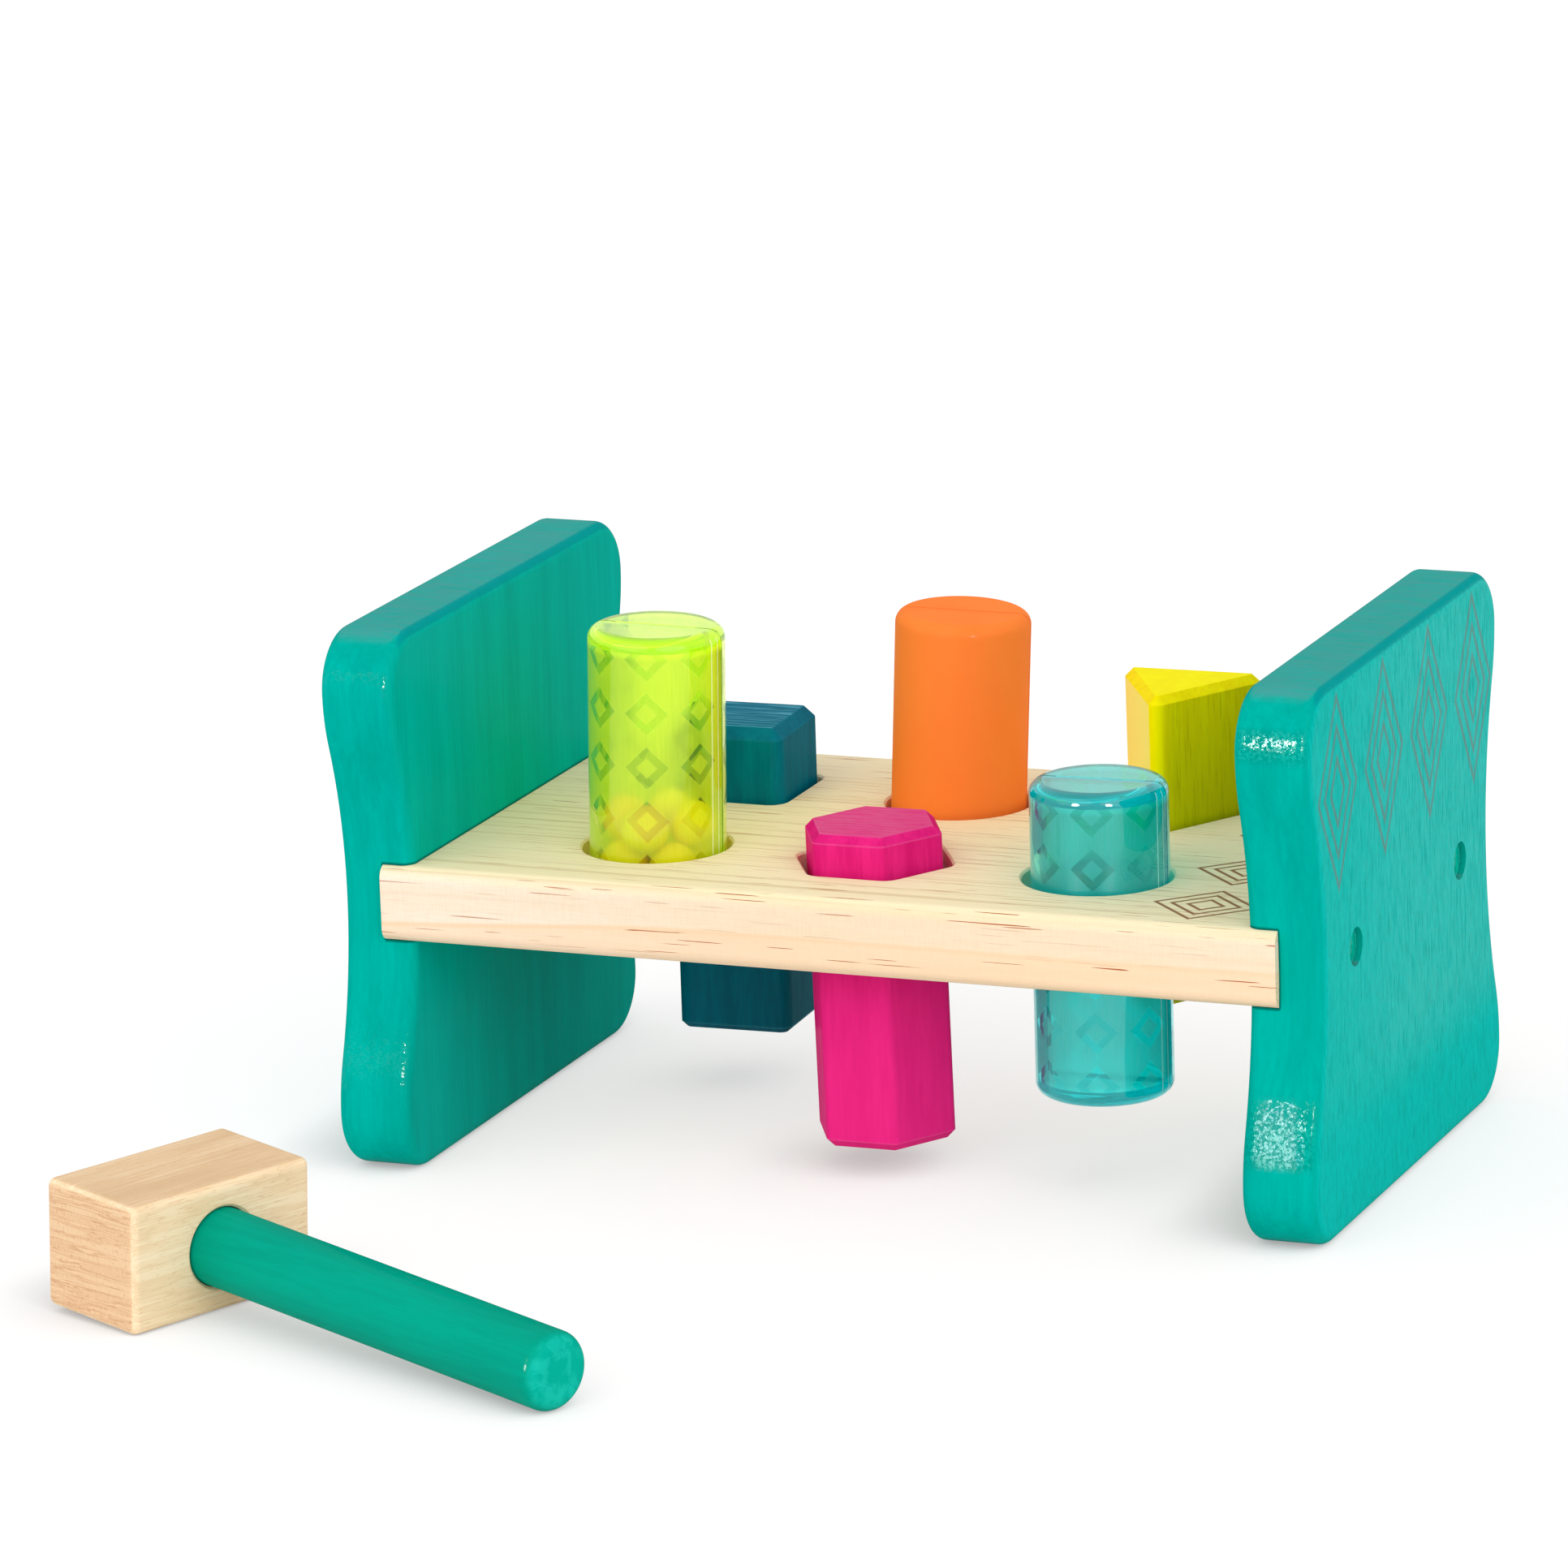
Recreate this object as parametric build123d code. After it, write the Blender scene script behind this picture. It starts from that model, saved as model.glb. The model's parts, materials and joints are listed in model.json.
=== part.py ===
from build123d import *
from math import acos, atan2, degrees, hypot, radians, sin, sqrt
import os

# Peg pounding bench with its pegs and mallet, in millimetres.
# X runs along the bench, the front row of holes is towards -Y, and Z is up.
# The bench is drawn about its own middle with its feet at zero height. At the end the whole set
# is moved so that the origin lies on the floor in the middle of the set's footprint.

# End panels
bench_length = 240.0
panel_thickness = 18.0
panel_height = 129.0
panel_waist_width = 122.0
panel_bulge_width = 139.5
panel_bulge_radius = 40.0
panel_corner_radius = 14.0
panel_edge_round = 3.0
housing_depth = 7.3

# Peg board
board_width = 127.0
board_thickness = 18.0
board_edge_round = 3.0
hole_column_share = 0.5343
hole_pitch_across = 55.0
round_hole_clearance = 1.5
hexagon_hole_clearance = 2.0
square_hole_clearance = 1.0
triangle_hole_clearance = 1.0
hole_rim_ease = 0.5

# Panel screws and the plugs over them
screw_spacing = 77.0
screw_shank_diameter = 4.0
screw_shank_length = 30.0
screw_tip_length = 5.0
screw_head_diameter = 8.0
screw_head_height = 2.4
screw_head_ease = 0.6
screw_cross_width = 1.1
screw_cross_span = 4.6
screw_cross_depth = 1.3
plug_diameter = 9.0
plug_thickness = 2.2
plug_recess = 1.4
plug_ease = 0.4

# Grip rings, each in a groove halfway down its hole
ring_height = 4.0
ring_groove_depth = 1.6
ring_lip_ease = 0.8
ring_fit = 0.08

# Round plastic pegs, each of two half shells
round_peg_diameter = 32.0
round_peg_length = 74.0
round_peg_shoulder = 3.0
shell_wall = 2.0
shell_end_wall = 3.6
shell_seam_ease = 0.3
shell_tongue_height = 1.5
shell_tongue_thickness = 1.0

# Rattle beads, settled in the foot of the green peg
bead_diameter = 11.0
bead_gap = 0.1
beads_in_layer = 4
bead_layers = 3

# Shaped wooden pegs
shaped_peg_length = 74.6
hexagon_across_flats = 30.0
hexagon_corner_ease = 2.0
hexagon_end_chamfer = 1.9
square_side = 28.0
square_corner_ease = 3.0
square_top_chamfer = 2.7
square_foot_chamfer = 1.3
square_chamfer_round = 0.8
triangle_height = 32.0
triangle_corner_ease = 2.5
triangle_end_chamfer = 1.9

# How far each peg stands above the board
green_rise = 52.6
orange_rise = 46.6
teal_rise = 23.0
magenta_rise = 9.0
navy_rise = 17.8
yellow_rise = 31.8

# How far off its hole's centre a peg stands, how it leans towards +X, and how it is turned
orange_off_centre = -0.6
teal_off_centre = 0.7
green_lean = 1.6
orange_lean = 3.0
magenta_lean = -1.1
yellow_lean = -0.5
green_turn = 2.5
orange_turn = 11.0
teal_turn = 3.0
magenta_turn = -2.3
navy_turn = 2.4

# Mallet
mallet_head_length = 52.0
mallet_head_side = 30.0
mallet_head_ease = 2.0
handle_diameter = 18.0
handle_reach = 110.0
handle_end_round = 3.5
handle_bore_depth = 22.0
handle_bore_gap = 0.25
handle_bore_ease = 0.6
mallet_from_bench_front = 102.2
mallet_from_bench_end = 5.3
mallet_heading = -24.0

# Working value
overrun = 5.0

# Values that follow from the sizes above
half_length = bench_length / 2
hole_pitch_along = hole_column_share * (half_length - panel_thickness)
board_middle = panel_height / 2
board_length = bench_length - 2 * (panel_thickness - housing_depth)
plug_seat = plug_recess + plug_thickness
head_seat = plug_seat + screw_head_height


def panel_outline():
    """Side view of an end panel: flat ends, round corners, two bulges and a drawn-in waist."""
    bulge_half = panel_bulge_width / 2
    waist_half = panel_waist_width / 2
    crest = panel_height / 2 - panel_corner_radius
    drawn_in = bulge_half - waist_half
    centres_apart = (drawn_in**2 + crest**2) / (2 * drawn_in)
    waist_radius = centres_apart - panel_bulge_radius
    swing = degrees(atan2(crest, centres_apart - drawn_in))
    corner_centre = (bulge_half - panel_corner_radius, crest)
    bulge_centre = (bulge_half - panel_bulge_radius, crest)
    waist_centre = (waist_half + waist_radius, 0)
    quarter = Curve() + [
        CenterArc(waist_centre, waist_radius, 180 - swing, swing),
        CenterArc(bulge_centre, panel_bulge_radius, -swing, swing),
        CenterArc(corner_centre, panel_corner_radius, 0, 90),
        Line((0, panel_height / 2), (corner_centre[0], panel_height / 2)),
    ]
    half = quarter + mirror(quarter, about=Plane.YZ)
    return make_face(half + mirror(half, about=Plane.XZ))


def end_panel(side):
    """One end panel. side is -1 for the left one and 1 for the right one."""
    standing = Plane(origin=(side * half_length, 0, board_middle), x_dir=(0, side, 0), z_dir=(side, 0, 0))
    panel = extrude(standing * panel_outline(), -panel_thickness)
    panel = fillet(panel.edges().filter_by(Plane.YZ), panel_edge_round)
    housing = Box(2 * housing_depth, panel_bulge_width, board_thickness)
    panel -= Pos(side * (half_length - panel_thickness), 0, board_middle) * housing
    for place in screw_places(side):
        panel -= place * bored(plug_diameter / 2, head_seat)
        panel -= place * bored(screw_shank_diameter / 2, panel_thickness)
    return panel


def screw_places(side):
    """Places on a panel's outer face, with Z pointing out, where the screws go in."""
    outwards = Rot(0, side * 90, 0)
    return [Pos(side * half_length, row * screw_spacing / 2, board_middle) * outwards for row in (-1, 1)]


def bored(radius, depth):
    """A hole's space, from past the surface at zero height down to the depth."""
    return Cylinder(radius, depth + overrun, align=(Align.CENTER, Align.CENTER, Align.MIN)).moved(Pos(0, 0, -depth))


def panel_screw():
    """Wood screw with a flat round head, its head's underside at zero height and its shank below."""
    shank = screw_shank_diameter / 2
    shoulder_depth = screw_shank_length - screw_tip_length
    profile = Polyline(
        (0, screw_head_height),
        (screw_head_diameter / 2 - screw_head_ease, screw_head_height),
        (screw_head_diameter / 2, screw_head_height - screw_head_ease),
        (screw_head_diameter / 2, 0),
        (shank, 0),
        (shank, -shoulder_depth),
        (0, -screw_shank_length),
        close=True,
    )
    screw = revolve(Plane.XZ * make_face(profile), Axis.Z)
    slot = Box(screw_cross_span, screw_cross_width, 2 * screw_cross_depth)
    cross = Pos(0, 0, screw_head_height) * (slot + Rot(0, 0, 90) * slot)
    return screw - cross


def screw_plug():
    """Wooden button over a screw head, its underside at zero height."""
    plug = Cylinder(plug_diameter / 2, plug_thickness, align=(Align.CENTER, Align.CENTER, Align.MIN))
    return chamfer(plug.edges().sort_by(Axis.Z)[-1], plug_ease)


def outline(shape, grow=0):
    """Plan of a peg, or of what goes round one when it is opened outwards by grow."""
    if shape == "round":
        return Circle(round_peg_diameter / 2 + grow)
    if shape == "square":
        side = square_side + 2 * grow
        return RectangleRounded(side, side, square_corner_ease + grow)
    if shape == "hexagon":
        face = RegularPolygon(hexagon_across_flats / 2 + grow, 6, major_radius=False)
        return fillet(face.vertices(), hexagon_corner_ease + grow)
    face = RegularPolygon(triangle_height / 3 + grow, 3, major_radius=False, rotation=-90)
    return fillet(face.vertices(), triangle_corner_ease + grow)


def hole_place(peg):
    """Centre of a peg's hole, at the board's mid-thickness. The triangle is centred by its box."""
    box_offset = triangle_height / 6 if peg["shape"] == "triangle" else 0
    across = peg["row"] * hole_pitch_across / 2 + box_offset
    return Pos(peg["column"] * hole_pitch_along, across, board_middle)


def peg_place(peg):
    """Where a peg crosses the board's mid-thickness, with Z along the peg."""
    return hole_place(peg) * Pos(peg["off_centre"], 0, 0) * Rot(0, peg["lean"], 0) * Rot(0, 0, peg["turn"])


def peg_middle(peg, length):
    """Middle of a peg that stands above the board by its rise."""
    return peg_place(peg) * Pos(0, 0, board_thickness / 2 + peg["rise"] - length / 2)


def centred(face, height):
    """A face drawn out equally up and down."""
    return extrude(face, height / 2, both=True)


def peg_board(pegs):
    """The board, with a hole for each peg and a groove halfway down each hole."""
    board = Pos(0, 0, board_middle) * Box(board_length, board_width, board_thickness)
    board = fillet(board.edges().filter_by(Axis.X), board_edge_round)
    for peg in pegs.values():
        clearance = hole_clearances[peg["shape"]]
        board -= hole_place(peg) * centred(outline(peg["shape"], clearance), board_thickness + overrun)
    for face in (board.faces().sort_by(Axis.Z)[0], board.faces().sort_by(Axis.Z)[-1]):
        board = chamfer([edge for wire in face.inner_wires() for edge in wire.edges()], hole_rim_ease)
    for peg in pegs.values():
        groove = hole_clearances[peg["shape"]] + ring_groove_depth
        board -= hole_place(peg) * centred(outline(peg["shape"], groove), ring_height)
    for side in (-1, 1):
        for place in screw_places(side):
            board -= place * bored(screw_shank_diameter / 2, head_seat + screw_shank_length)
    return board


def grip_ring(peg):
    """Soft ring that fills the groove and grips the peg. Its bore follows the peg's lean."""
    groove = hole_clearances[peg["shape"]] + ring_groove_depth
    ring = hole_place(peg) * centred(outline(peg["shape"], groove), ring_height)
    ring -= peg_place(peg) * centred(outline(peg["shape"], ring_fit), ring_height + 2 * overrun)
    for face in (ring.faces().sort_by(Axis.Z)[0], ring.faces().sort_by(Axis.Z)[-1]):
        ring = chamfer(face.inner_wires()[0].edges(), ring_lip_ease)
    return ring


def shaped_peg(peg, foot_chamfer, top_chamfer, chamfer_round=0):
    """Wooden peg with chamfered ends. Both rims of the top chamfer can be rounded off too."""
    body = centred(outline(peg["shape"]), shaped_peg_length)
    for end, size in ((0, foot_chamfer), (-1, top_chamfer)):
        body = chamfer(body.faces().sort_by(Axis.Z)[end].edges(), size)
    if chamfer_round:
        levels = body.edges().group_by(Axis.Z)
        body = fillet(levels[-1] + levels[-3], chamfer_round)
    return peg_middle(peg, shaped_peg_length) * body


def inner_space(layer=0):
    """A round peg's hollow, opened into the walls all round by layer."""
    radius = round_peg_diameter / 2 - shell_wall + layer
    return Cylinder(radius, round_peg_length - 2 * (shell_end_wall - layer))


def shell_halves(peg):
    """Front and back shells of a round peg. A tongue on the front one seats in the back one."""
    body = Cylinder(round_peg_diameter / 2, round_peg_length)
    walls = fillet(body.edges().filter_by(GeomType.CIRCLE), round_peg_shoulder) - inner_space()
    behind = Pos(0, round_peg_diameter / 2, 0) * Box(round_peg_diameter, round_peg_diameter, round_peg_length)
    tongue_space = Pos(0, shell_tongue_height / 2, 0) * Box(
        round_peg_diameter, shell_tongue_height, round_peg_length
    )
    tongue = (inner_space(shell_tongue_thickness) - inner_space()) & tongue_space
    halves = []
    for half in (walls - behind, walls & behind):
        parting = half.faces().filter_by(Plane.XZ).sort_by(Axis.Y)
        seam = parting[-1] if not halves else parting[0]
        halves.append(chamfer(seam.outer_wire().edges(), shell_seam_ease))
    place = peg_middle(peg, round_peg_length)
    return place * (halves[0] + tongue), place * (halves[1] - tongue)


def rattle_beads(peg):
    """Loose beads in a round peg, in layers that rest in each other's dips."""
    ring_radius = round_peg_diameter / 2 - shell_wall - bead_gap - bead_diameter / 2
    half_pitch = 360 / beads_in_layer / 2
    sideways = 2 * ring_radius * sin(radians(half_pitch / 2))
    layer_rise = sqrt((bead_diameter + bead_gap) ** 2 - sideways**2)
    lowest = shell_end_wall + bead_gap + bead_diameter / 2 - round_peg_length / 2
    beads = []
    for layer in range(bead_layers):
        for place in PolarLocations(ring_radius, beads_in_layer, layer * half_pitch):
            beads.append(Pos(0, 0, lowest + layer * layer_rise) * place * Sphere(bead_diameter / 2))
    return Compound([peg_middle(peg, round_peg_length) * bead for bead in beads])


def mallet_tilt():
    """Angle at which the mallet lies, on its head's lower edge and on the end of its handle."""
    rise = (mallet_head_side - handle_diameter) / 2 - mallet_head_ease + handle_end_round
    run = handle_reach - handle_end_round + mallet_head_ease
    return degrees(acos((handle_end_round - mallet_head_ease) / hypot(rise, run)) - atan2(run, rise))


def mallet_place():
    """Middle of the mallet's head as it lies: X along the handle and Y along the head."""
    eased = mallet_head_side / 2 - mallet_head_ease
    corner = Rot(0, mallet_tilt(), 0) * Pos(eased, 0, -eased)
    height = mallet_head_ease - corner.position.Z
    across = board_width / 2 + mallet_from_bench_front
    spot = Pos(-(half_length - mallet_from_bench_end), -across, height)
    return spot * Rot(0, 0, mallet_heading) * Rot(0, mallet_tilt(), 0)


def mallet_head():
    """Square block with eased edges and a blind bore for the handle in one long side."""
    block = Box(mallet_head_side, mallet_head_length, mallet_head_side)
    block = fillet(block.edges(), mallet_head_ease)
    mouth = Pos(mallet_head_side / 2, 0, 0) * Rot(0, 90, 0)
    radius = handle_diameter / 2 + handle_bore_gap
    block -= mouth * bored(radius, handle_bore_depth)
    rim = block.edges().filter_by(GeomType.CIRCLE).group_by(Axis.X)[-1].sort_by(SortBy.RADIUS)[-1]
    return mallet_place() * chamfer(rim, handle_bore_ease)


def mallet_handle():
    """Turned dowel, from the bottom of its bore to its rounded end."""
    length = handle_bore_depth + handle_reach
    start = mallet_head_side / 2 - handle_bore_depth
    dowel = Cylinder(handle_diameter / 2, length, align=(Align.CENTER, Align.CENTER, Align.MIN))
    dowel = fillet(dowel.edges().sort_by(Axis.Z)[-1], handle_end_round)
    dowel = chamfer(dowel.edges().sort_by(Axis.Z)[0], handle_bore_ease)
    return mallet_place() * Pos(start, 0, 0) * Rot(0, 90, 0) * dowel


def peg(shape, column, row, rise, off_centre=0, lean=0, turn=0):
    """What sets one peg: its shape, its hole's column and row, and how it stands in the hole."""
    stand = {"rise": rise, "off_centre": off_centre, "lean": lean, "turn": turn}
    return {"shape": shape, "column": column, "row": row} | stand


pegs = {
    "green": peg("round", -1, -1, green_rise, lean=green_lean, turn=green_turn),
    "magenta": peg("hexagon", 0, -1, magenta_rise, lean=magenta_lean, turn=magenta_turn),
    "teal": peg("round", 1, -1, teal_rise, teal_off_centre, turn=teal_turn),
    "navy": peg("square", -1, 1, navy_rise, turn=navy_turn),
    "orange": peg("round", 0, 1, orange_rise, orange_off_centre, orange_lean, orange_turn),
    "yellow": peg("triangle", 1, 1, yellow_rise, lean=yellow_lean),
}
hole_clearances = {
    "round": round_hole_clearance,
    "hexagon": hexagon_hole_clearance,
    "square": square_hole_clearance,
    "triangle": triangle_hole_clearance,
}
end_shapes = {
    "hexagon": (hexagon_end_chamfer, hexagon_end_chamfer),
    "square": (square_foot_chamfer, square_top_chamfer, square_chamfer_round),
    "triangle": (triangle_end_chamfer, triangle_end_chamfer),
}

nodes = {"peg_board": peg_board(pegs)}
for name, side in (("left", -1), ("right", 1)):
    nodes[name + "_end_panel"] = end_panel(side)
    screws = [place * Pos(0, 0, -head_seat) * panel_screw() for place in screw_places(side)]
    plugs = [place * Pos(0, 0, -plug_seat) * screw_plug() for place in screw_places(side)]
    nodes[name + "_panel_screws"] = Compound(screws)
    nodes[name + "_screw_plugs"] = Compound(plugs)
for colour, one in pegs.items():
    nodes[colour + "_grip_ring"] = grip_ring(one)
    if one["shape"] == "round":
        nodes[colour + "_peg_front_shell"], nodes[colour + "_peg_back_shell"] = shell_halves(one)
    else:
        nodes[colour + "_peg"] = shaped_peg(one, *end_shapes[one["shape"]])
nodes["green_peg_beads"] = rattle_beads(pegs["green"])
nodes["mallet_head"] = mallet_head()
nodes["mallet_handle"] = mallet_handle()

footprint = Compound(list(nodes.values())).bounding_box()
to_origin = Pos(-footprint.center().X, -footprint.center().Y, -footprint.min.Z)

os.makedirs("parts", exist_ok=True)
for name, solid in nodes.items():
    export_step(to_origin * solid, "parts/" + name + ".step")
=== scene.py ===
import json
from math import atan2, cos, degrees, pi, radians, sin

import bpy
from mathutils import Matrix, Vector


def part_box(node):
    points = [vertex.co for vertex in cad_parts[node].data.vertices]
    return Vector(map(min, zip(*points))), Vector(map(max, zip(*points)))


# Lengths are in metres and angles in degrees, unless a name says otherwise.
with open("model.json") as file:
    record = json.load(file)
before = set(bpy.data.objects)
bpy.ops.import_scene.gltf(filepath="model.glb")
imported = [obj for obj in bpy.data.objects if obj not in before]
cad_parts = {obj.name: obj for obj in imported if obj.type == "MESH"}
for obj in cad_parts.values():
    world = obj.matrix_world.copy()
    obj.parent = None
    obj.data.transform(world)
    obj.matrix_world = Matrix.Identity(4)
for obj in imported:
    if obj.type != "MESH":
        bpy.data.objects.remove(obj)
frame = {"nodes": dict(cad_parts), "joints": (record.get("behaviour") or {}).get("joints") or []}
bpy.context.view_layer.update()
nodes = frame["nodes"]

# Camera, where the photograph was taken from. The aim is given from the middle of the bench's foot.
view_azimuth = 22.265
view_elevation = 14.449
view_roll = -1.856
view_distance = 1.94583
view_reach = 100.0
view_lens_mm = 203.72
aim_from_bench = Vector((0.016085, -0.120814, 0.115994))

# Studio light: a white sky, two soft suns, and softboxes that show only as highlights on the panels' fronts
white = (1.0, 1.0, 1.0, 1.0)
sky_light = 0.80
key_sun = {"strength": 0.70, "azimuth": -26.0, "elevation": 30.0, "spread": 60.0}
fill_sun = {"strength": 0.80, "azimuth": 50.0, "elevation": 25.0, "spread": 50.0}
glint_height = 0.26
glint_elevation = 13.0
glint_centre_share = 0.55
flat_glint = {"azimuth": -22.3, "distance": 0.35, "width": 0.16, "power": 0.42, "spread": 22.0}
edge_glint = {"azimuth": 33.0, "distance": 0.12, "width": 0.06, "power": 0.11, "spread": 18.0}

# Floor: its colour where it lights the object and where it is seen, its glow, and the soft contact shade
floor_width = 60.0
floor_drop = 0.0002
floor_lighting = (0.88, 0.88, 0.88, 1.0)
floor_seen = (0.380, 0.374, 0.374, 1.0)
floor_glow = 0.67
contact_reach = 0.030
contact_darkness = 0.52
contact_tilt = (0.75, -0.5, 0.45)

# Glossy patches on the panels' front edges, which also carry a painted highlight haze and dark specks, as
# shares of their height and thickness: start, full, full, end
foot_patch_shares = (0.150, 0.165, 0.215, 0.285)
top_patch_shares = (0.874, 0.900, 0.932, 0.948)
highlight_haze_across_shares = (0.05, 0.20, 0.72, 0.86)
speck_size = 0.0008

# Gloss on the outer faces: where it grows from front to back, from the middle of the panel
veil_y = (-0.06, 0.01)

# Darker line and low flecks on the board, as shares of its thickness: start, full, full, end
band_line_shares = (0.50, 0.54, 0.55, 0.60)
low_fleck_shares = (0.10, 0.16, 0.40, 0.46)

# Thin lines of painted shadow in the board's joints: where each fades out and is full, and how far they pass
# the corners
face_joint_shade = (0.0008, 0.0003)
end_joint_shade = (0.0006, 0.0002)
joint_corner = (0.0004, 0.0006)

# Burnt lozenges: three nested outlines as shares of the pitch, and the rows on the panels and the board
nested_shares = (0.14, 0.27, 0.40)
panel_row_share = 0.80
panel_row_pitches = 4.2
panel_lozenge = {"tall": 0.055, "line": 0.0010}
board_lozenge = {"pitch": 0.030, "tall": 0.030, "line": 0.0009}

# Along the board, from left to right: where its edge grows darker and warmer, and where its two-tone line
# shifts
warming_x = (-0.09, 0.01)
shifting_x = (-0.105, -0.02)

# Yellow peg: how far from its front edge the painted shade on its right face starts and is full
right_shade_reach = (0.0012, 0.0036)

# Marks in the wood, each by its length along X, Y and Z
end_mottle = (0.012, 0.0012, 0.01)
end_scuff = (0.02, 0.0009, 0.02)
pine_line = (0.20, 0.0013, 0.004)
pine_fleck = (0.022, 0.00045, 0.0005)
beech_line = (0.0014, 0.03, 0.0011)
beech_ring = (0.03, 0.03, 0.0014)
beech_ray = (0.0003, 0.003, 0.0014)

# Fine relief: how deep the grain, the lacquer's ripple and the other skins are, and how wide the ripple is
stained_depth = 0.00006
bare_depth = 0.00008
ripple_depth = 0.0001
ripple_size = 0.0008
rubber_depth = 0.0001
hard_skin_depth = 0.00005

# Clear pegs: walls, lozenges in the frosting, and ridges by the seam, in degrees round from it
outer_radius = 0.016
inner_radius = 0.014
wall = outer_radius - inner_radius
inner_half_height = 0.0334
clear_lozenges_round = 7
clear_lozenge_pitch = 0.0128
ridge_angles = (5.3, 14.6)
ridge_half_width = 0.00032

# Faces of the clear pegs' walls: how far off each one its pattern starts and is full
inner_skin = (-0.0005, -0.0003, 0.0002, 0.0004)
inner_end_skin = (0.0006, 0.0002)
outer_skin = (-0.0006, -0.0004)

# Finish: the faint shine of bare wood, the pegs' worn edges, and how deep light sinks in plastic
bare_wood_shine = 0.05
worn_edge = 0.0004
light_depth = 0.002


def srgb(red, green, blue):
    """A colour as a picture shows it, from 0 to 255, in the linear values of a shader."""
    shares = [value / 255 for value in (red, green, blue)]
    return tuple(s / 12.92 if s <= 0.04045 else ((s + 0.055) / 1.055) ** 2.4 for s in shares) + (1.0,)


def bench_middle():
    """Middle of the bench's foot, on the floor."""
    low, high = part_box("left_end_panel")[0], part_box("right_end_panel")[1]
    middle = (low + high) / 2
    return Vector((middle.x, middle.y, 0))


def handle_turn():
    """Heading of the mallet's handle on the floor."""
    head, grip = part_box("mallet_head"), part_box("mallet_handle")
    run = (grip[0] + grip[1]) / 2 - (head[0] + head[1]) / 2
    return degrees(atan2(run.y, run.x))


def towards(azimuth, elevation):
    """Unit vector from the object to a lamp or camera. Azimuth 0 is at the front, 90 at the right end."""
    around, up = radians(azimuth), radians(elevation)
    return Vector((sin(around) * cos(up), -cos(around) * cos(up), sin(up)))


def looking_back(direction):
    """Turn of a lamp or camera that stands in a direction from the object and looks back at it."""
    return direction.to_track_quat("Z", "Y").to_matrix().to_4x4()


def add_camera():
    """Camera of the photograph, a long lens turned a little off level."""
    back = towards(view_azimuth, view_elevation)
    place = Matrix.Translation(bench_middle() + aim_from_bench + back * view_distance)
    camera = bpy.data.objects.new("camera", bpy.data.cameras.new("camera"))
    camera.matrix_world = place @ looking_back(back) @ Matrix.Rotation(radians(view_roll), 4, "Z")
    camera.data.lens = view_lens_mm
    camera.data.clip_end = view_reach
    bpy.context.collection.objects.link(camera)
    bpy.context.scene.camera = camera


def node(tree, kind, inputs=None, **settings):
    """Adds a shader node. Inputs are given by name or number, as values or as sockets to link from."""
    made = tree.nodes.new("ShaderNode" + kind)
    for key, value in settings.items():
        setattr(made, key, value)
    for key, value in (inputs or {}).items():
        if isinstance(value, bpy.types.NodeSocket):
            tree.links.new(value, made.inputs[key])
        else:
            made.inputs[key].default_value = value
    return made


def math_node(tree, operation, first, second=0.0):
    """Result of arithmetic on one or two values, each a number or a socket."""
    return node(tree, "Math", {0: first, 1: second}, operation=operation).outputs[0]


def plus(tree, first, second):
    return math_node(tree, "ADD", first, second)


def minus(tree, first, second):
    return math_node(tree, "SUBTRACT", first, second)


def larger(tree, first, second):
    return math_node(tree, "MAXIMUM", first, second)


def unsigned(tree, value):
    """A value without its sign."""
    return math_node(tree, "ABSOLUTE", value)


def apart(tree, first, second):
    """Distance between two values."""
    return unsigned(tree, minus(tree, first, second))


def times(tree, *values):
    """Product of masks or values."""
    product = values[0]
    for value in values[1:]:
        product = math_node(tree, "MULTIPLY", product, value)
    return product


def smooth(tree, value, low, high, to_low=0.0, to_high=1.0):
    """Eases a value from to_low to to_high as it goes from low to high."""
    inputs = {"Value": value, "From Min": low, "From Max": high, "To Min": to_low, "To Max": to_high}
    return node(tree, "MapRange", inputs, interpolation_type="SMOOTHSTEP").outputs["Result"]


def between(tree, value, start, full, full_end, end):
    """1 from full to full_end, easing to 0 at start and end."""
    return times(tree, smooth(tree, value, start, full), smooth(tree, value, end, full_end))


def blend(tree, share, first, second):
    """Goes from the first colour to the second as a share goes from 0 to 1."""
    made = node(tree, "Mix", data_type="RGBA")
    for socket, value in ((made.inputs[0], share), (made.inputs[6], first), (made.inputs[7], second)):
        if isinstance(value, bpy.types.NodeSocket):
            tree.links.new(value, socket)
        else:
            socket.default_value = value
    return made.outputs[2]


def split_up(tree, vector):
    """The X, Y and Z of a vector, each by itself."""
    return node(tree, "SeparateXYZ", {0: vector}).outputs


def object_place(tree):
    """Where a point is in the frame of the whole object."""
    return node(tree, "TexCoord").outputs["Object"]


def face_direction(tree):
    """Which way a face points."""
    return node(tree, "NewGeometry").outputs["Normal"]


def seen_directly(tree):
    """1 for what the camera sees by itself, in a mirror or through glass, and 0 for light on the object."""
    path = node(tree, "LightPath").outputs
    either = larger(tree, path["Is Camera Ray"], path["Is Glossy Ray"])
    return larger(tree, either, path["Is Transmission Ray"])


def add_sky():
    """Even light from all round, in front of a plain white background."""
    world = bpy.data.worlds.new("studio")
    world.use_nodes = True
    tree = world.node_tree
    tree.nodes.clear()
    light = node(tree, "Background", {"Color": white, "Strength": sky_light})
    background = node(tree, "Background", {"Color": white, "Strength": 1.0})
    mixed = node(tree, "MixShader", {0: seen_directly(tree), 1: light.outputs[0], 2: background.outputs[0]})
    node(tree, "OutputWorld", {"Surface": mixed.outputs[0]})
    bpy.context.scene.world = world


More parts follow.
